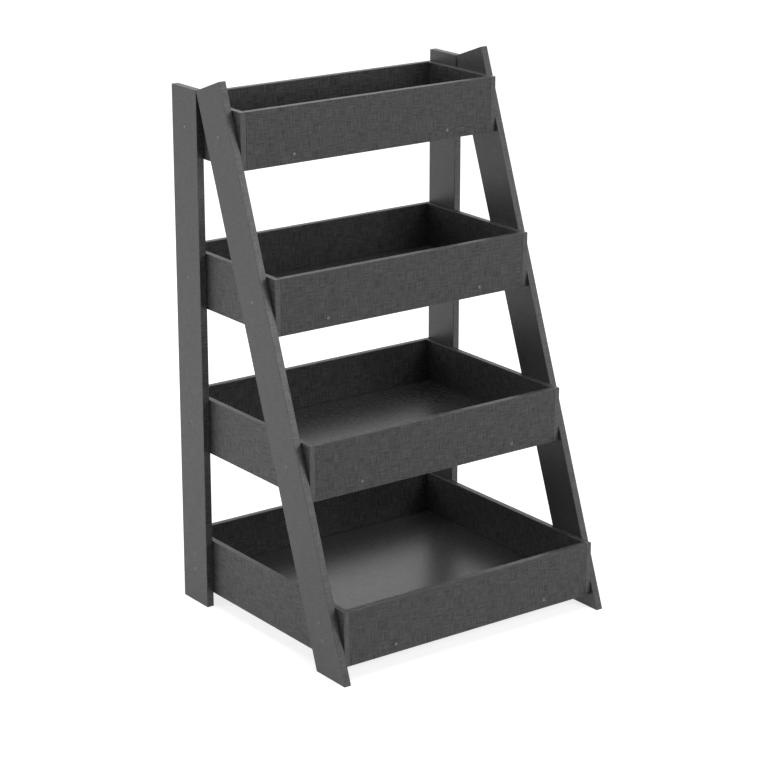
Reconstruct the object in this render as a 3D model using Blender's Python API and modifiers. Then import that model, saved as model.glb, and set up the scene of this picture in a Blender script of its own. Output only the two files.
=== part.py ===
"""Ladder shelf of four open trays, hung between two side frames of flat board.

Each frame is an upright at the back and a leg that leans on the upright's top front corner.
The trays grow deeper downwards with the legs' slope, and their backs are flush with the uprights.

X runs across the shelf, Y from front to back and Z up, in metres. The origin is on the floor,
in the middle of the whole shelf's width and depth.
"""

import math

import bmesh
import bpy
from mathutils import Matrix, Vector

# Side frames: the uprights and the legs are cut from the same board
OUTER_WIDTH = 0.628
UPRIGHT_HEIGHT = 1.040
FRAME_BOARD_WIDTH = 0.085
FRAME_BOARD_THICKNESS = 0.015
LEG_SLOPE = math.radians(20)

# Trays, counted from the top one down
TRAY_COUNT = 4
TRAY_HEIGHT = 0.110
TOP_TRAY_DROP = 0.023
LOWEST_TRAY_CLEARANCE = 0.028
LEG_CROSSING_HEIGHT = 0.030
TRAY_WALL_THICKNESS = 0.012
TRAY_FLOOR_THICKNESS = 0.012
TRAY_FLOOR_RECESS = 0.011

# Joints between boards, and the broken edges of every board
SEAM = 0.0003
EDGE_BREAK = 0.0008

# Raised countersunk screws with a cross recess
HEAD_RADIUS = 0.0035
HEAD_FLAT_RADIUS = 0.0021
HEAD_RISE = 0.0008
SHANK_RADIUS = 0.00175
POINT_LENGTH = 0.004
FRAME_SCREW_COVER = 0.0023
FLOOR_SCREW_GRIP = 0.026
RECESS_SPAN = 0.0036
RECESS_WIDTH = 0.0009
RECESS_DEPTH = 0.0018
RECESS_FOOT_SPAN = 0.0016
SCREW_CLEARANCE = 0.0003
CUT_OVERRUN = 0.003
SCREW_SIDES = 12

# Where the screws sit: heights as shares of a tray's height, places as shares of half its inside
FRAME_SCREW_HEIGHT_SHARE = 0.52
FRAME_SCREW_PAIR_SPACING = 0.032
FLOOR_SCREW_PLACE_SHARE = 0.628

# A turned profile's doubled points on the axis merge within this distance
MERGE_DISTANCE = 0.00001
SMOOTH_ANGLE = math.radians(35)

# Laminated board in charcoal grey, and dark screws
BOARD_COLOUR = (0.105, 0.105, 0.107, 1.0)
WALL_COLOUR = (0.090, 0.090, 0.092, 1.0)
FLOOR_COLOUR = (0.098, 0.098, 0.100, 1.0)
SCREW_COLOUR = (0.060, 0.060, 0.062, 1.0)

# Worked out from the sizes above
LEG_RUN = UPRIGHT_HEIGHT * math.tan(LEG_SLOPE)
LEG_LEVEL_WIDTH = FRAME_BOARD_WIDTH / math.cos(LEG_SLOPE)
LEG_SEAM = SEAM / math.cos(LEG_SLOPE)
FRAME_DEPTH = FRAME_BOARD_WIDTH + LEG_SEAM + LEG_RUN + LEG_LEVEL_WIDTH
REAR = (FRAME_DEPTH - HEAD_RISE) / 2
HALF_WIDTH = OUTER_WIDTH / 2
TRAY_HALF_WIDTH = HALF_WIDTH - FRAME_BOARD_THICKNESS - SEAM
INNER_HALF_WIDTH = TRAY_HALF_WIDTH - TRAY_WALL_THICKNESS
TRAY_RUN = UPRIGHT_HEIGHT - TOP_TRAY_DROP - TRAY_HEIGHT - LOWEST_TRAY_CLEARANCE
TRAY_PITCH = TRAY_RUN / max(TRAY_COUNT - 1, 1)
HEAD_CONE = HEAD_RADIUS - SHANK_RADIUS
FRAME_SCREW_LENGTH = FRAME_BOARD_THICKNESS + SEAM + TRAY_WALL_THICKNESS - FRAME_SCREW_COVER
FLOOR_SCREW_LENGTH = TRAY_WALL_THICKNESS + SEAM + FLOOR_SCREW_GRIP

SIDES = {"left": -1, "right": 1}


def clear_scene():
    """Start from an empty file, however the script is run."""
    for thing in list(bpy.data.objects):
        bpy.data.objects.remove(thing)


def new_collection(name):
    group = bpy.data.collections.new(name)
    bpy.context.scene.collection.children.link(group)
    return group


def new_material(name, colour, roughness, metallic=0.0):
    material = bpy.data.materials.new(name)
    material.use_nodes = True
    shader = material.node_tree.nodes["Principled BSDF"]
    shader.inputs["Base Color"].default_value = colour
    shader.inputs["Roughness"].default_value = roughness
    shader.inputs["Metallic"].default_value = metallic
    material.diffuse_color = colour
    return material


def new_object(name, data, material, group):
    thing = bpy.data.objects.new(name, data)
    if material:
        data.materials.clear()
        data.materials.append(material)
    group.objects.link(thing)
    return thing


def break_edges(board):
    """Take the sharpness off a board's edges, as its edge band has it."""
    bevel = board.modifiers.new("broken edges", "BEVEL")
    bevel.width = EDGE_BREAK
    bevel.segments = 1
    bevel.limit_method = "ANGLE"


def evaluated_mesh(thing):
    """The object's mesh with its modifiers applied, its doubled points merged."""
    bpy.context.view_layer.update()
    graph = bpy.context.evaluated_depsgraph_get()
    mesh = bpy.data.meshes.new_from_object(thing.evaluated_get(graph))
    shape = bmesh.new()
    shape.from_mesh(mesh)
    bmesh.ops.remove_doubles(shape, verts=shape.verts, dist=MERGE_DISTANCE)
    shape.to_mesh(mesh)
    shape.free()
    return mesh


def flat_board(name, low, high, material, group):
    """A rectangular board between two corners."""
    size = [top - bottom for bottom, top in zip(low, high)]
    middle = [(top + bottom) / 2 for bottom, top in zip(low, high)]
    shape = bmesh.new()
    bmesh.ops.create_cube(shape, size=1.0)
    bmesh.ops.scale(shape, vec=size, verts=shape.verts)
    mesh = bpy.data.meshes.new(name)
    shape.to_mesh(mesh)
    shape.free()
    board = new_object(name, mesh, material, group)
    board.location = middle
    break_edges(board)
    return board


def outline_board(name, outline, middle_x, thickness, material, group):
    """A board cut to an outline of (y, z) points, standing in the plane across X."""
    curve = bpy.data.curves.new(name, "CURVE")
    curve.dimensions = "2D"
    curve.fill_mode = "BOTH"
    curve.extrude = thickness / 2
    edge = curve.splines.new("POLY")
    edge.points.add(len(outline) - 1)
    for point, (y, z) in zip(edge.points, outline):
        point.co = (y, z, 0, 1)
    edge.use_cyclic_u = True
    drawn = new_object(name + "_outline", curve, None, group)
    drawn.matrix_world = Matrix(((0, 0, 1, middle_x), (1, 0, 0, 0), (0, 1, 0, 0), (0, 0, 0, 1)))
    mesh = evaluated_mesh(drawn)
    board = new_object(name, mesh, material, group)
    board.matrix_world = drawn.matrix_world
    bpy.data.objects.remove(drawn)
    break_edges(board)
    return board


def turned(name, profile, group):
    """A profile of (radius, height) points, from the top down, turned about Z."""
    mesh = bpy.data.meshes.new(name)
    points = [(radius, 0, height) for radius, height in profile]
    edges = [(i, i + 1) for i in range(len(points) - 1)]
    mesh.from_pydata(points, edges, [])
    thing = new_object(name, mesh, None, group)
    turn = thing.modifiers.new("turn", "SCREW")
    turn.steps = SCREW_SIDES
    turn.render_steps = SCREW_SIDES
    turn.use_merge_vertices = True
    turn.merge_threshold = MERGE_DISTANCE
    return thing


def hide_cutter(cutter):
    cutter.hide_render = True
    cutter.display_type = "WIRE"


def cut(thing, cutter):
    boolean = thing.modifiers.new("cut by " + cutter.name, "BOOLEAN")
    boolean.operation = "DIFFERENCE"
    boolean.solver = "EXACT"
    boolean.object = cutter


def recess_wing(name, turned_by, group):
    """One wing of the cross recess, narrowing towards its foot."""
    corner = math.sqrt(2)
    top = HEAD_RISE + CUT_OVERRUN
    flare = (RECESS_SPAN - RECESS_FOOT_SPAN) / RECESS_DEPTH
    top_span = RECESS_SPAN + flare * CUT_OVERRUN
    shape = bmesh.new()
    bmesh.ops.create_cone(
        shape,
        cap_ends=True,
        segments=4,
        radius1=RECESS_FOOT_SPAN / corner,
        radius2=top_span / corner,
        depth=RECESS_DEPTH + CUT_OVERRUN,
        matrix=Matrix.Rotation(math.radians(45), 4, "Z"),
    )
    bmesh.ops.scale(shape, vec=(1, RECESS_WIDTH / RECESS_SPAN, 1), verts=shape.verts)
    mesh = bpy.data.meshes.new(name)
    shape.to_mesh(mesh)
    shape.free()
    wing = new_object(name, mesh, None, group)
    wing.location.z = top - (RECESS_DEPTH + CUT_OVERRUN) / 2
    wing.rotation_euler.z = turned_by
    hide_cutter(wing)
    return wing


def screw_mesh(name, length, wings, material, group):
    """A screw along Z with its head's rim at zero and its point downwards."""
    profile = [
        (0, HEAD_RISE),
        (HEAD_FLAT_RADIUS, HEAD_RISE),
        (HEAD_RADIUS, 0),
        (SHANK_RADIUS, -HEAD_CONE),
        (SHANK_RADIUS, POINT_LENGTH - length),
        (0, -length),
    ]
    blank = turned(name, profile, group)
    for wing in wings:
        cut(blank, wing)
    mesh = evaluated_mesh(blank)
    bpy.data.objects.remove(blank)
    mesh.materials.append(material)
    mesh.shade_smooth()
    mesh.set_sharp_from_angle(angle=SMOOTH_ANGLE)
    return mesh


def hole_cutter(name, length, group):
    """The room a screw needs: its own shape with clearance all round, open past the head."""
    slant = SCREW_CLEARANCE * math.sqrt(2)
    bore = SHANK_RADIUS + SCREW_CLEARANCE
    profile = [
        (0, CUT_OVERRUN),
        (HEAD_RADIUS + slant, CUT_OVERRUN),
        (HEAD_RADIUS + slant, 0),
        (bore, SCREW_CLEARANCE - slant - HEAD_CONE),
        (bore, POINT_LENGTH - length),
        (0, -length - SCREW_CLEARANCE),
    ]
    cutter = turned(name, profile, group)
    hide_cutter(cutter)
    return cutter


def drive_screw(name, mesh, length, place, outward, boards):
    """Put a screw in its place, its head to the outward direction, and drill its boards."""
    turn = Vector((0, 0, 1)).rotation_difference(Vector(outward)).to_matrix().to_4x4()
    screw = bpy.data.objects.new(name, mesh)
    shelf.objects.link(screw)
    screw.matrix_world = Matrix.Translation(place) @ turn
    cutter = hole_cutter(name + "_hole", length, cutters)
    cutter.matrix_world = screw.matrix_world
    for board in boards:
        cut(board, cutter)


def leg_rear_edge(height):
    """Y of the leg's rear edge at a height; it meets the upright's top front corner."""
    return REAR - FRAME_BOARD_WIDTH - LEG_SEAM - (UPRIGHT_HEIGHT - height) * math.tan(LEG_SLOPE)


def leg_front_edge(height):
    return leg_rear_edge(height) - LEG_LEVEL_WIDTH


def leg_middle(height):
    return leg_rear_edge(height) - LEG_LEVEL_WIDTH / 2


def leg_outline():
    """The foot is cut level with the floor and the top square to the leg's length."""
    rise = FRAME_BOARD_WIDTH * math.sin(LEG_SLOPE)
    reach = FRAME_BOARD_WIDTH * math.cos(LEG_SLOPE)
    rear_top = leg_rear_edge(UPRIGHT_HEIGHT)
    return [
        (leg_rear_edge(0), 0),
        (leg_front_edge(0), 0),
        (rear_top - reach, UPRIGHT_HEIGHT + rise),
        (rear_top, UPRIGHT_HEIGHT),
    ]


def side_frame(side, material):
    """An upright and a leg in one plane. Returns both boards by name."""
    sign = SIDES[side]
    inner = sign * (HALF_WIDTH - FRAME_BOARD_THICKNESS)
    outer = sign * HALF_WIDTH
    low = (min(inner, outer), REAR - FRAME_BOARD_WIDTH, 0)
    high = (max(inner, outer), REAR, UPRIGHT_HEIGHT)
    upright = flat_board(side + "_upright", low, high, material, shelf)
    middle = (inner + outer) / 2
    leg = outline_board(side + "_leg", leg_outline(), middle, FRAME_BOARD_THICKNESS, material, shelf)
    return {"upright": upright, "leg": leg}


def tray_lower_edge(number):
    return LOWEST_TRAY_CLEARANCE + (TRAY_COUNT - number) * TRAY_PITCH


def tray_front(number):
    """The front wall's face crosses the leg's front edge a little above the tray's lower edge."""
    return leg_front_edge(tray_lower_edge(number) + LEG_CROSSING_HEIGHT)


def tray(number, wall_material, floor_material):
    """Two side walls, the front and back walls between them, and the floor inside all four."""
    name = "tray_" + str(number) + "_"
    low_z = tray_lower_edge(number)
    high_z = low_z + TRAY_HEIGHT
    front = tray_front(number)
    wall_end = INNER_HALF_WIDTH - SEAM
    boards = {}
    for side, sign in SIDES.items():
        faces = sorted((sign * TRAY_HALF_WIDTH, sign * INNER_HALF_WIDTH))
        low, high = (faces[0], front, low_z), (faces[1], REAR, high_z)
        boards[side] = flat_board(name + side + "_wall", low, high, wall_material, shelf)
    for end, face in {"front": front, "back": REAR - TRAY_WALL_THICKNESS}.items():
        low = (-wall_end, face, low_z)
        high = (wall_end, face + TRAY_WALL_THICKNESS, high_z)
        boards[end] = flat_board(name + end + "_wall", low, high, wall_material, shelf)
    inset = TRAY_WALL_THICKNESS + SEAM
    floor_z = low_z + TRAY_FLOOR_RECESS
    low = (-wall_end, front + inset, floor_z)
    high = (wall_end, REAR - inset, floor_z + TRAY_FLOOR_THICKNESS)
    boards["floor"] = flat_board(name + "floor", low, high, floor_material, shelf)
    return boards


def frame_screw_heights(number):
    """One screw at about half the tray's height; the lowest tray, the heaviest, has a pair."""
    middle = tray_lower_edge(number) + FRAME_SCREW_HEIGHT_SHARE * TRAY_HEIGHT
    if number < TRAY_COUNT:
        return [middle]
    return [middle + FRAME_SCREW_PAIR_SPACING / 2, middle - FRAME_SCREW_PAIR_SPACING / 2]


def screw_tray_to_frames(frames, trays, mesh):
    """Screws through the middle of each upright and leg into the tray's side walls."""
    places = {"upright": lambda height: REAR - FRAME_BOARD_WIDTH / 2, "leg": leg_middle}
    for side, sign in SIDES.items():
        for member, place_at in places.items():
            count = 0
            for number in range(1, TRAY_COUNT + 1):
                boards = (frames[side][member], trays[number][side])
                for height in frame_screw_heights(number):
                    count += 1
                    name = side + "_" + member + "_screw_" + str(count)
                    place = (sign * HALF_WIDTH, place_at(height), height)
                    drive_screw(name, mesh, FRAME_SCREW_LENGTH, place, (sign, 0, 0), boards)


def screw_tray_to_floor(number, boards, mesh):
    """Two screws through the front wall and two through the back wall into the floor's edges."""
    ends = {"front": (tray_front(number), -1), "back": (REAR, 1)}
    height = tray_lower_edge(number) + TRAY_FLOOR_RECESS + TRAY_FLOOR_THICKNESS / 2
    for end, (face, outward) in ends.items():
        for side, sign in SIDES.items():
            name = "tray_" + str(number) + "_" + end + "_screw_" + side
            place = (sign * FLOOR_SCREW_PLACE_SHARE * INNER_HALF_WIDTH, face, height)
            pair = (boards[end], boards["floor"])
            drive_screw(name, mesh, FLOOR_SCREW_LENGTH, place, (0, outward, 0), pair)


clear_scene()
shelf = new_collection("ladder_shelf")
cutters = new_collection("cutters")

frame_board = new_material("laminated frame board", BOARD_COLOUR, 0.5)
wall_board = new_material("laminated tray wall", WALL_COLOUR, 0.5)
floor_board = new_material("laminated tray floor", FLOOR_COLOUR, 0.45)
screw_steel = new_material("blackened screw steel", SCREW_COLOUR, 0.4, metallic=0.8)

side_frames = {side: side_frame(side, frame_board) for side in SIDES}
all_trays = {
    number: tray(number, wall_board, floor_board) for number in range(1, TRAY_COUNT + 1)
}

recess = [
    recess_wing("recess_wing_" + str(i + 1), i * math.pi / 2, cutters) for i in range(2)
]
frame_screw = screw_mesh("frame_screw", FRAME_SCREW_LENGTH, recess, screw_steel, shelf)
floor_screw = screw_mesh("floor_screw", FLOOR_SCREW_LENGTH, recess, screw_steel, shelf)
screw_tray_to_frames(side_frames, all_trays, frame_screw)
for tray_number, tray_boards in all_trays.items():
    screw_tray_to_floor(tray_number, tray_boards, floor_screw)
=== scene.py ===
"""Looks of the ladder shelf: charcoal linen laminate on board, its edge bands and its screws."""

import math
import random

import bmesh
import bpy
from mathutils import Matrix, Vector


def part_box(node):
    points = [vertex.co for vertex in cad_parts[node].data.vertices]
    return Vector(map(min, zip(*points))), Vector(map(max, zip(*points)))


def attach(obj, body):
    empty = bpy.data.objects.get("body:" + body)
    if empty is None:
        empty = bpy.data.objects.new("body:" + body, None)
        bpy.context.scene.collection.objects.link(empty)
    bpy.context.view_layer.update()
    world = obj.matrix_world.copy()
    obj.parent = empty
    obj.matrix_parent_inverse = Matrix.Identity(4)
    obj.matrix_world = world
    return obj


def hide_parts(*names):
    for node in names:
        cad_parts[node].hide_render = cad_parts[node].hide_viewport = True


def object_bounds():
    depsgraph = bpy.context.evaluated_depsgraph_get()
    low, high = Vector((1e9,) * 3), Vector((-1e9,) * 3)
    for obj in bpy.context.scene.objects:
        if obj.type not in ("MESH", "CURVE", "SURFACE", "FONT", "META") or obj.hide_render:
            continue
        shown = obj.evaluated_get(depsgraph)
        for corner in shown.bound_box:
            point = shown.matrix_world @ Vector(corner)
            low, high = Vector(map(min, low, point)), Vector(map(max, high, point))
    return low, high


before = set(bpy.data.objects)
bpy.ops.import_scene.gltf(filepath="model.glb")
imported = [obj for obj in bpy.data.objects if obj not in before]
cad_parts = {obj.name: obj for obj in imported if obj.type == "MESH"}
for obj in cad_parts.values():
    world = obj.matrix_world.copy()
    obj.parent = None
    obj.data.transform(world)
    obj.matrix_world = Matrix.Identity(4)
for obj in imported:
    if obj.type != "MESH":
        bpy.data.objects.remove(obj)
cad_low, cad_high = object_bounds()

MM = 0.001
ACROSS = Vector((1, 0, 0))
DEEP = Vector((0, 1, 0))
TALL = Vector((0, 0, 1))
WHITE = (1, 1, 1, 1)

# Camera, turned and tipped as in the photograph, whose frame is 768 pixels wide
PHOTO_WIDTH = 768
FOCAL_PIXELS = 2494.2
SENSOR_MM = 36.0
CAMERA_PLACE = (-2.746, -3.707, 1.942)
CAMERA_YAW = math.radians(36.33)
CAMERA_PITCH = math.radians(17.85)
CAMERA_REACH = 100

# The shelf's build: all other board sizes are read from the frame's boxes
LEG_SLOPE = math.radians(20)
TRAY_NUMBERS = range(1, 5)
SIDES = ("left", "right")

# Boards: the edge band's thickness, the joint line beside it and the rounding of its corners
BAND = 0.9 * MM
JOINT_WIDTH = 0.22 * MM
JOINT_DEPTH = 0.12 * MM
CORNER_RADIUS = 0.75 * MM
CORNER_STEPS = 3
CORNER_ANGLE = math.radians(45)

# How squarely a face looks one way: the share of its normal that lies along that way
SQUARELY = 0.99
MOSTLY = 0.7
NOT_AT_ALL = 0.01

# Raised countersunk screws with a cross recess, as the CAD solids have them
HEAD_RADIUS = 3.5 * MM
HEAD_FLAT_RADIUS = 1.9 * MM
HEAD_RISE = 0.8 * MM
HEAD_RIM = 0.15 * MM
SHANK_RADIUS = 1.75 * MM
THREAD_PITCH = 1.6 * MM
THREAD_DEPTH = 0.35 * MM
POINT_LENGTH = 4.0 * MM
POINT_SHARE = 0.12
RECESS_SPAN = 3.4 * MM
RECESS_WIDTH = 0.85 * MM
RECESS_DEPTH = 1.9 * MM
RECESS_FOOT_SHARE = (0.45, 0.8, 1)
SCREW_SIDES = 28
SCREW_SMOOTHING = math.radians(32)
# Grit of the plating in mm, coarser than the real one so that it shows
GRIT_SIZE = 0.6

# Drilled holes, a little wider than the screws, and how far a cutter stands out of the board
HOLE_GAP = 0.3 * MM
HOLE_POINT_SHARE = 0.2
CUTTER_STANDS_OUT = 3 * MM
RECESS_STANDS_OUT = 2 * MM

# Linen print: a slub's length and width and the yarns' spacing, all in mm
MM_IN_METRE = 1000
SLUB_LENGTH = 26
SLUB_WIDTH = 1.8
WEFT_SHIFT = 3.1
WARP_SHIFT = 8.7
YARN_SPACING = 1.9
YARN_SHARE = 0.18
# Heights of the weave that count as fully sunken and fully raised
WEAVE_LOW = 1.00
WEAVE_HIGH = 1.36
EMBOSS_DEPTH = 0.25 * MM
MELAMINE_IOR = 1.65
# At a scale of 1, the wave texture has this many waves in a metre
WAVES_IN_METRE = 20 / (2 * math.pi)
# Metres of printed sheet that the boards are cut from, each from a place of its own
PRINT_SPREAD = 5

# Stage: how much the ground and the air glow, and where the ground's glow starts to rise
GROUND_SIZE = 60
GROUND_GLOW = 0.78
GLOW_RISES_FROM = 0.5
GLOW_RISES_TO = 2.5
AIR_STRENGTH = 0.2
SHELF_MIDDLE = Vector((0, 0, 0.55))

random.seed(17)


# Materials

def linear(hex_colour):
    """An sRGB hex value as the linear colour that a shader takes."""
    parts = [int(hex_colour[i:i + 2], 16) / 255 for i in (1, 3, 5)]
    return [c / 12.92 if c <= 0.04045 else ((c + 0.055) / 1.055) ** 2.4 for c in parts] + [1.0]


def add_node(tree, kind, settings=None, inputs=None):
    """A node with its settings, and its inputs set to values or linked to sockets."""
    node = tree.nodes.new(kind)
    for name, value in (settings or {}).items():
        setattr(node, name, value)
    for name, value in (inputs or {}).items():
        if isinstance(value, bpy.types.NodeSocket):
            tree.links.new(value, node.inputs[name])
        else:
            node.inputs[name].default_value = value
    return node


def new_material(name):
    material = bpy.data.materials.new(name)
    material.use_nodes = True
    material.node_tree.nodes.clear()
    return material, material.node_tree


def slubs(tree, place, length, width, shift):
    """Thick places in the yarns: noise drawn out along one direction, both sizes in mm."""
    drawn_out = add_node(
        tree, "ShaderNodeMapping", {"vector_type": "POINT"},
        {"Vector": place, "Scale": (MM_IN_METRE / length, MM_IN_METRE / width, 1),
         "Location": (shift, shift, 0)})
    noise = add_node(
        tree, "ShaderNodeTexNoise", {"noise_dimensions": "2D"},
        {"Vector": drawn_out.outputs[0], "Scale": 1.0, "Detail": 2.0, "Roughness": 0.55})
    return noise.outputs[0]


def yarns(tree, place, direction):
    """The yarns that lie across one direction, one wave to each, a little uneven in their run."""
    wave = add_node(
        tree, "ShaderNodeTexWave", {"wave_type": "BANDS", "bands_direction": direction},
        {"Vector": place, "Scale": MM_IN_METRE / (YARN_SPACING * WAVES_IN_METRE),
         "Distortion": 2.2, "Detail": 2.0, "Detail Scale": 0.6})
    return wave.outputs["Fac"]


def linen_weave(tree, place):
    """Height of the pressed linen: crossed slubs, with the single yarns faintly over them."""
    # Slubs 26 mm long and 1.8 mm across show as the photograph's short crossed strokes
    both_slubs = add_node(tree, "ShaderNodeMath", {"operation": "ADD"}, {
        0: slubs(tree, place, SLUB_LENGTH, SLUB_WIDTH, WEFT_SHIFT),
        1: slubs(tree, place, SLUB_WIDTH, SLUB_LENGTH, WARP_SHIFT)})
    # Such prints have yarns about 0.8 mm apart, drawn at 1.9 mm so that they show at this distance
    both_yarns = add_node(tree, "ShaderNodeMath", {"operation": "ADD"}, {
        0: yarns(tree, place, "Y"),
        1: yarns(tree, place, "X")})
    faint_yarns = add_node(
        tree, "ShaderNodeMath", {"operation": "MULTIPLY"}, {0: both_yarns.outputs[0], 1: YARN_SHARE})
    weave = add_node(
        tree, "ShaderNodeMath", {"operation": "ADD"},
        {0: both_slubs.outputs[0], 1: faint_yarns.outputs[0]})
    return weave.outputs[0]


def linen_laminate(name, sunken, raised, sunken_roughness, raised_roughness, emboss, sheen):
    """Melamine resin pressed as linen: nearly black, paler and smoother where the yarns rise.

    To the eye it is a matt charcoal weave that takes a soft sheen when seen at a low angle.
    """
    material, tree = new_material(name)
    place = add_node(tree, "ShaderNodeTexCoord").outputs["UV"]
    weave = linen_weave(tree, place)
    height = add_node(
        tree, "ShaderNodeMapRange", {"clamp": True},
        {"Value": weave, "From Min": WEAVE_LOW, "From Max": WEAVE_HIGH})
    colour = add_node(
        tree, "ShaderNodeMix", {"data_type": "RGBA"},
        {0: height.outputs[0], 6: linear(sunken), 7: linear(raised)})
    roughness = add_node(
        tree, "ShaderNodeMapRange", {"clamp": True},
        {"Value": height.outputs[0], "To Min": sunken_roughness, "To Max": raised_roughness})
    bump = add_node(
        tree, "ShaderNodeBump",
        inputs={"Height": weave, "Strength": emboss, "Distance": EMBOSS_DEPTH})
    # Melamine resin bends light more than most plastics do, hence its strong sheen
    shader = add_node(
        tree, "ShaderNodeBsdfPrincipled", inputs={
            "Base Color": colour.outputs[2], "Roughness": roughness.outputs[0],
            "IOR": MELAMINE_IOR, "Specular IOR Level": sheen, "Normal": bump.outputs[0]})
    add_node(tree, "ShaderNodeOutputMaterial", inputs={"Surface": shader.outputs[0]})
    return material


def black_zinc_steel(name):
    """Black zinc plate on turned steel: a dark metal, slightly gritty, with a small highlight."""
    material, tree = new_material(name)
    place = add_node(tree, "ShaderNodeTexCoord").outputs["Object"]
    grit = add_node(
        tree, "ShaderNodeTexNoise",
        inputs={"Vector": place, "Scale": MM_IN_METRE / GRIT_SIZE, "Detail": 3.0})
    colour = add_node(
        tree, "ShaderNodeMix", {"data_type": "RGBA"},
        {0: grit.outputs[0], 6: linear("#565658"), 7: linear("#747476")})
    roughness = add_node(
        tree, "ShaderNodeMapRange", {"clamp": True},
        {"Value": grit.outputs[0], "To Min": 0.20, "To Max": 0.34})
    shader = add_node(
        tree, "ShaderNodeBsdfPrincipled", inputs={
            "Base Color": colour.outputs[2], "Roughness": roughness.outputs[0], "Metallic": 0.9})
    add_node(tree, "ShaderNodeOutputMaterial", inputs={"Surface": shader.outputs[0]})
    return material


def white_to_the_eye(tree):
    """One for rays that show a thing to the camera, directly, mirrored or through glass."""
    ray = add_node(tree, "ShaderNodeLightPath")
    seen_or_mirrored = add_node(
        tree, "ShaderNodeMath", {"operation": "MAXIMUM"},
        {0: ray.outputs["Is Camera Ray"], 1: ray.outputs["Is Glossy Ray"]})
    seen = add_node(
        tree, "ShaderNodeMath", {"operation": "MAXIMUM"},
        {0: seen_or_mirrored.outputs[0], 1: ray.outputs["Is Transmission Ray"]})
    return seen.outputs[0]


def studio_ground(name):
    """Pale matt studio paper: white to the camera, darker only where the shelf shades it."""
    material, tree = new_material(name)
    # The glow rises to full white away from the shelf, where the lamps no longer reach
    place = add_node(tree, "ShaderNodeTexCoord").outputs["Object"]
    away = add_node(tree, "ShaderNodeVectorMath", {"operation": "LENGTH"}, {0: place})
    rise = add_node(
        tree, "ShaderNodeMapRange", {"clamp": True, "interpolation_type": "SMOOTHSTEP"},
        {"Value": away.outputs["Value"], "From Min": GLOW_RISES_FROM, "From Max": GLOW_RISES_TO,
         "To Min": GROUND_GLOW, "To Max": 1.0})
    strength = add_node(
        tree, "ShaderNodeMath", {"operation": "MULTIPLY"},
        {0: white_to_the_eye(tree), 1: rise.outputs[0]})
    glow = add_node(
        tree, "ShaderNodeEmission", inputs={"Color": WHITE, "Strength": strength.outputs[0]})
    matt = add_node(tree, "ShaderNodeBsdfDiffuse", inputs={"Color": linear("#d9d9d9")})
    both = add_node(tree, "ShaderNodeAddShader", inputs={0: matt.outputs[0], 1: glow.outputs[0]})
    add_node(tree, "ShaderNodeOutputMaterial", inputs={"Surface": both.outputs[0]})
    return material


# Modelling steps

def activate(thing):
    bpy.ops.object.select_all(action="DESELECT")
    thing.select_set(True)
    bpy.context.view_layer.objects.active = thing


def start_piece(name, add_primitive, **place_and_size):
    """A primitive added with nothing else selected, with its place and size put into its mesh."""
    bpy.ops.object.select_all(action="DESELECT")
    add_primitive(**place_and_size)
    piece = bpy.context.object
    piece.name = name
    piece.data.name = name
    settle(piece)
    return piece


def settle(thing):
    """Put the object's place, turn and size into its mesh."""
    activate(thing)
    bpy.ops.object.transform_apply(location=True, rotation=True, scale=True)


def open_mesh(thing, selected):
    """Go into edit mode, with the whole mesh selected or none of it."""
    activate(thing)
    bpy.ops.object.mode_set(mode="EDIT")
    bpy.ops.mesh.select_all(action="SELECT" if selected else "DESELECT")


def close_mesh():
    bpy.ops.object.mode_set(mode="OBJECT")


def select_faces(thing, wanted):
    """In edit mode, select the faces for which wanted(face) is true."""
    bpy.ops.mesh.select_mode(type="FACE")
    bpy.ops.mesh.select_all(action="DESELECT")
    shape = bmesh.from_edit_mesh(thing.data)
    for face in shape.faces:
        face.select_set(wanted(face))
    bmesh.update_edit_mesh(thing.data)


def select_edges(thing, wanted):
    """In edit mode, select the edges for which wanted(edge) is true."""
    bpy.ops.mesh.select_mode(type="EDGE")
    bpy.ops.mesh.select_all(action="DESELECT")
    shape = bmesh.from_edit_mesh(thing.data)
    for edge in shape.edges:
        edge.select_set(wanted(edge))
    shape.select_flush_mode()
    bmesh.update_edit_mesh(thing.data)


def cut_away(thing, cutters):
    """Take the cutters' closed shapes out of a piece."""
    for number, cutter in enumerate(cutters):
        boolean = thing.modifiers.new("cut " + str(number), "BOOLEAN")
        boolean.operation = "DIFFERENCE"
        boolean.solver = "EXACT"
        boolean.object = cutter
    activate(thing)
    for modifier in list(thing.modifiers):
        bpy.ops.object.modifier_apply(modifier=modifier.name)


# Boards

def flat_slab(name, node):
    """A board as large as its CAD solid."""
    low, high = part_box(node)
    low, high = Vector(low), Vector(high)
    return start_piece(
        name, bpy.ops.mesh.primitive_cube_add, size=1, location=(low + high) / 2, scale=high - low)


def leaning_slab(name, node, width):
    """A board leaned to the slope, its top kept square, its foot sawn level with the ground."""
    low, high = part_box(node)
    up_leg = Vector((0, math.sin(LEG_SLOPE), math.cos(LEG_SLOPE)))
    forward = Vector((0, -math.cos(LEG_SLOPE), math.sin(LEG_SLOPE)))
    rear_top = Vector((0, high.y, high.z - width * math.sin(LEG_SLOPE)))
    # Longer than the leg, so that the saw cut takes the whole foot
    length = (high.z - low.z) / math.cos(LEG_SLOPE) + width
    middle = rear_top + forward * (width / 2) - up_leg * (length / 2)
    middle.x = (low.x + high.x) / 2
    slab = start_piece(
        name, bpy.ops.mesh.primitive_cube_add, size=1, location=middle,
        rotation=(-LEG_SLOPE, 0, 0), scale=(high.x - low.x, width, length))
    open_mesh(slab, selected=True)
    bpy.ops.mesh.bisect(plane_co=(0, 0, low.z), plane_no=TALL, use_fill=True, clear_inner=True)
    close_mesh()
    return slab, up_leg


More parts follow.
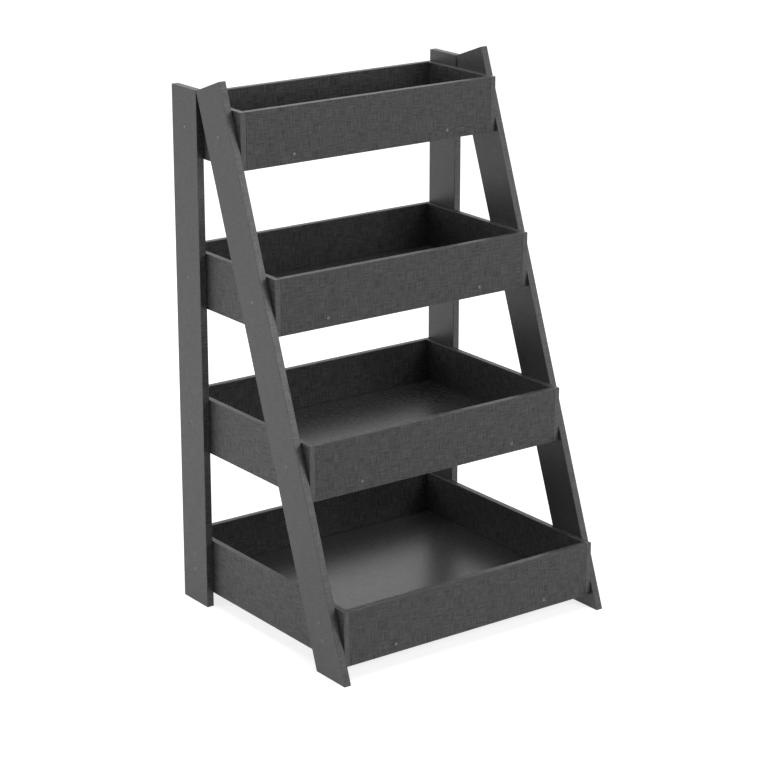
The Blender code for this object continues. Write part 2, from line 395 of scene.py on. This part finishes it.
def band_board(board, through, face_material):
    """Press the laminate on a slab's two faces, and band its edges with a joint line between."""
    board.data.materials.append(face_material)
    board.data.materials.append(edge_band)

    def is_main(face):
        return abs(face.normal.dot(through)) > SQUARELY

    def is_corner(edge):
        """An edge of the slab itself: it has a side face, and its faces meet sharply."""
        beside_band = any(abs(face.normal.dot(through)) < NOT_AT_ALL for face in edge.link_faces)
        return beside_band and edge.calc_face_angle() > CORNER_ANGLE

    open_mesh(board, selected=False)
    select_faces(board, is_main)
    bpy.ops.mesh.inset(thickness=BAND, depth=0)
    bpy.ops.mesh.inset(thickness=JOINT_WIDTH, depth=-JOINT_DEPTH)
    bpy.ops.mesh.inset(thickness=JOINT_WIDTH, depth=JOINT_DEPTH)
    shape = bmesh.from_edit_mesh(board.data)
    for face in shape.faces:
        face.material_index = 0 if face.select else 1
    bmesh.update_edit_mesh(board.data)
    select_edges(board, is_corner)
    bpy.ops.mesh.bevel(offset=CORNER_RADIUS, segments=CORNER_STEPS, profile=0.5)
    close_mesh()


def lay_out_print(board, along, through):
    """UVs in metres: the print's weft runs along the board, and every board has its own cut."""
    across = along.cross(through).normalized()
    own_cut = Vector((random.uniform(0, PRINT_SPREAD), random.uniform(0, PRINT_SPREAD)))
    layer = board.data.uv_layers["UVMap"]
    for face in board.data.polygons:
        if abs(face.normal.dot(through)) > MOSTLY:
            first, second = along, across
        elif abs(face.normal.dot(along)) > MOSTLY:
            first, second = across, through
        else:
            first, second = along, through
        for loop in face.loop_indices:
            point = board.data.vertices[board.data.loops[loop].vertex_index].co
            layer.data[loop].uv = Vector((point.dot(first), point.dot(second))) + own_cut


def finish_board(board, node, along, through, drilled, face_material):
    band_board(board, through, face_material)
    cut_away(board, drilled)
    lay_out_print(board, along, through)
    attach(board, "root")
    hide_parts(node)


# Screws and their holes, made upright with the head's rim at zero

def turned_blank(name, profile):
    """A disc extruded down a profile of (radius, height) points, ring by ring, and closed."""
    radius, height = profile[0]
    blank = start_piece(
        name, bpy.ops.mesh.primitive_circle_add,
        vertices=SCREW_SIDES, radius=radius, location=(0, 0, height))
    open_mesh(blank, selected=True)
    bpy.ops.mesh.edge_face_add()
    for (radius, height), (next_radius, next_height) in zip(profile, profile[1:]):
        bpy.ops.mesh.extrude_region_move(
            TRANSFORM_OT_translate={"value": (0, 0, next_height - height)})
        share = next_radius / radius
        bpy.ops.transform.resize(
            value=(share, share, 1), center_override=(0, 0, next_height))
    bpy.ops.mesh.select_all(action="SELECT")
    bpy.ops.mesh.normals_make_consistent(inside=False)
    close_mesh()
    return blank


def thread_profile(length):
    """Crests and roots of the thread, from below the head to where the point starts."""
    root = SHANK_RADIUS - THREAD_DEPTH
    start = -(HEAD_RADIUS - SHANK_RADIUS) - THREAD_PITCH
    end = POINT_LENGTH - length
    points = []
    for turn in range(int((start - end) / THREAD_PITCH)):
        height = start - turn * THREAD_PITCH
        points += [(SHANK_RADIUS, height), (root, height - THREAD_PITCH / 2)]
    return points + [(SHANK_RADIUS, end)]


def recess_wing(name, turn):
    """One bar of the cross recess, narrower at its foot."""
    top = HEAD_RISE + RECESS_STANDS_OUT
    tall = RECESS_DEPTH + RECESS_STANDS_OUT
    wing = start_piece(
        name, bpy.ops.mesh.primitive_cube_add, size=1, location=(0, 0, top - tall / 2),
        scale=(RECESS_SPAN, RECESS_WIDTH, tall))
    foot = top - tall
    open_mesh(wing, selected=False)
    select_faces(wing, lambda face: face.calc_center_median().z < foot + 0.1 * MM)
    bpy.ops.transform.resize(value=RECESS_FOOT_SHARE, center_override=(0, 0, foot))
    close_mesh()
    wing.rotation_euler.z = turn
    settle(wing)
    return wing


def screw_blank(name, length):
    """A raised countersunk screw: domed head, cone, thread and point, with its recess cut."""
    profile = [
        (HEAD_FLAT_RADIUS * 0.55, HEAD_RISE),
        (HEAD_FLAT_RADIUS, HEAD_RISE * 0.96),
        (HEAD_RADIUS * 0.80, HEAD_RISE * 0.62),
        (HEAD_RADIUS * 0.95, HEAD_RISE * 0.25),
        (HEAD_RADIUS, 0.0),
        (HEAD_RADIUS, -HEAD_RIM),
        (SHANK_RADIUS, -(HEAD_RADIUS - SHANK_RADIUS)),
    ]
    profile += thread_profile(length) + [(SHANK_RADIUS * POINT_SHARE, -length)]
    blank = turned_blank(name, profile)
    wings = [recess_wing(name + "_wing_" + str(i), i * math.pi / 2) for i in range(2)]
    cut_away(blank, wings)
    for wing in wings:
        bpy.data.objects.remove(wing)
    activate(blank)
    bpy.ops.object.shade_smooth_by_angle(angle=SCREW_SMOOTHING)
    return blank


def hole_blank(name, length):
    """The countersunk hole that the screw sits in, with its bore and its drilled point."""
    bore = SHANK_RADIUS + HOLE_GAP
    rim = HEAD_RADIUS + HOLE_GAP
    return turned_blank(name, [
        (rim, CUTTER_STANDS_OUT),
        (rim, -HEAD_RIM),
        (bore, -(HEAD_RADIUS - SHANK_RADIUS) - HOLE_GAP),
        (bore, POINT_LENGTH - length),
        (bore * HOLE_POINT_SHARE, -length - HOLE_GAP),
    ])


def seat_of(node):
    """A screw's outward direction, the middle of its head's rim and its length, from its box."""
    low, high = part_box(node)
    size, middle = high - low, (low + high) / 2
    axis = max(range(3), key=lambda i: size[i])
    if axis == 0:
        sign = 1 if middle.x > 0 else -1
    else:
        sign = 1 if "back" in node else -1
    outward = Vector([sign if i == axis else 0 for i in range(3)])
    rim = Vector(middle)
    rim[axis] = (high if sign > 0 else low)[axis] - sign * HEAD_RISE
    return outward, rim, size[axis] - HEAD_RISE


def copy_to(blank, name, outward, place):
    """A copy with its own mesh, pointed outward and set in its place, driven to any turn."""
    mesh = blank.data.copy()
    mesh.name = name
    lean = TALL.rotation_difference(outward).to_matrix().to_4x4()
    turn = Matrix.Rotation(random.uniform(0, math.pi / 2), 4, "Z")
    mesh.transform(Matrix.Translation(place) @ lean @ turn)
    thing = bpy.data.objects.new(name, mesh)
    bpy.context.scene.collection.objects.link(thing)
    return thing


# The shelf

frame_face = linen_laminate(
    "linen laminate on frame board", sunken="#303031", raised="#404041",
    sunken_roughness=0.46, raised_roughness=0.38, emboss=0.35, sheen=0.37)
tray_face = linen_laminate(
    "linen laminate on tray wall", sunken="#1c1c1d", raised="#4e4e4f",
    sunken_roughness=0.50, raised_roughness=0.38, emboss=1.0, sheen=0.26)
# Painted light: the floors use the walls' linen laminate, but their base colour is painted paler to stand
# in for the light and sheen on the tray floors
floor_face_painted_paler = linen_laminate(
    "linen laminate on tray floor with painted light", sunken="#353536", raised="#565657",
    sunken_roughness=0.33, raised_roughness=0.26, emboss=0.25, sheen=0.85)
edge_band = linen_laminate(
    "linen print on edge band", sunken="#272728", raised="#4e4e4f",
    sunken_roughness=0.44, raised_roughness=0.36, emboss=0.5, sheen=0.38)
screw_steel = black_zinc_steel("black zinc screw steel")

screw_nodes = sorted(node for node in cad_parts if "_screw_" in node)
seats = {node: seat_of(node) for node in screw_nodes}
lengths = sorted({round(length, 5) for _, _, length in seats.values()})
screw_blanks = {length: screw_blank("screw_blank_" + str(i), length) for i, length in enumerate(lengths)}
hole_blanks = {length: hole_blank("hole_blank_" + str(i), length) for i, length in enumerate(lengths)}

holes = {}
for node, (outward, rim, length) in seats.items():
    length = round(length, 5)
    screw = copy_to(screw_blanks[length], node + "_made", outward, rim)
    screw.data.materials.append(screw_steel)
    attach(screw, "root")
    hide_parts(node)
    holes[node] = copy_to(hole_blanks[length], node + "_hole", outward, rim)


def holes_of(*starts):
    """The holes of the screws whose names start so."""
    return [holes[node] for node in screw_nodes if node.startswith(starts)]


def frame_holes_into(side, wall):
    """The holes of one side frame's screws that lie at the height of a tray's side wall."""
    low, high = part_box(wall)
    return [holes[node] for node in screw_nodes
            if node.startswith((side + "_upright", side + "_leg")) and low.z < seats[node][1].z < high.z]


upright_low, upright_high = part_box("left_upright")
frame_board_width = upright_high.y - upright_low.y
for side in SIDES:
    upright = side + "_upright"
    finish_board(flat_slab(upright + "_board", upright), upright, TALL, ACROSS,
                 holes_of(upright + "_screw"), frame_face)
    leg = side + "_leg"
    slab, up_leg = leaning_slab(leg + "_board", leg, frame_board_width)
    finish_board(slab, leg, up_leg, ACROSS, holes_of(leg + "_screw"), frame_face)

for number in TRAY_NUMBERS:
    tray = "tray_" + str(number) + "_"
    for side in SIDES:
        wall = tray + side + "_wall"
        finish_board(flat_slab(tray + side + "_board", wall), wall, DEEP, ACROSS,
                     frame_holes_into(side, wall), tray_face)
    for end in ("front", "back"):
        wall = tray + end + "_wall"
        finish_board(flat_slab(tray + end + "_board", wall), wall, ACROSS, DEEP,
                     holes_of(tray + end + "_screw"), tray_face)
    floor = tray + "floor"
    finish_board(flat_slab(floor + "_board", floor), floor, ACROSS, TALL,
                 holes_of(tray + "front_screw", tray + "back_screw"), floor_face_painted_paler)

for spare in [*screw_blanks.values(), *hole_blanks.values(), *holes.values()]:
    bpy.data.objects.remove(spare)


# Stage, light and camera

ground = start_piece(
    "ground", bpy.ops.mesh.primitive_plane_add, size=GROUND_SIZE, location=(0, 0, cad_low.z))
ground.data.materials.append(studio_ground("studio ground"))

world = bpy.data.worlds.new("studio air")
bpy.context.scene.world = world
world.use_nodes = True
air_tree = world.node_tree
air_tree.nodes.clear()
air_strength = add_node(
    air_tree, "ShaderNodeMath", {"operation": "MAXIMUM"}, {0: white_to_the_eye(air_tree), 1: AIR_STRENGTH})
air = add_node(
    air_tree, "ShaderNodeBackground", inputs={"Color": WHITE, "Strength": air_strength.outputs[0]})
add_node(air_tree, "ShaderNodeOutputWorld", inputs={"Surface": air.outputs[0]})


def softbox(name, place, width, height, watts):
    """A soft lamp that faces the middle of the shelf."""
    light = bpy.data.lights.new(name, "AREA")
    light.shape = "RECTANGLE"
    light.size = width
    light.size_y = height
    light.energy = watts
    lamp = bpy.data.objects.new(name, light)
    bpy.context.scene.collection.objects.link(lamp)
    lamp.location = place
    lamp.rotation_euler = (SHELF_MIDDLE - Vector(place)).to_track_quat("-Z", "Y").to_euler()


softbox("left_softbox", (-2.6, 1.1, 1.1), 1.4, 1.2, 14)
softbox("front_softbox", (1.2, -3.0, 1.8), 1.4, 1.2, 31)
softbox("top_softbox", (-0.1, 0.1, 3.6), 1.6, 1.6, 60)

lens = bpy.data.cameras.new("camera")
lens.sensor_width = SENSOR_MM
lens.lens = FOCAL_PIXELS / PHOTO_WIDTH * SENSOR_MM
lens.clip_end = CAMERA_REACH
camera = bpy.data.objects.new("camera", lens)
bpy.context.scene.collection.objects.link(camera)
camera.location = CAMERA_PLACE
camera.rotation_euler = (math.pi / 2 - CAMERA_PITCH, 0, -CAMERA_YAW)
bpy.context.scene.camera = camera
bpy.context.scene.view_settings.view_transform = "Standard"
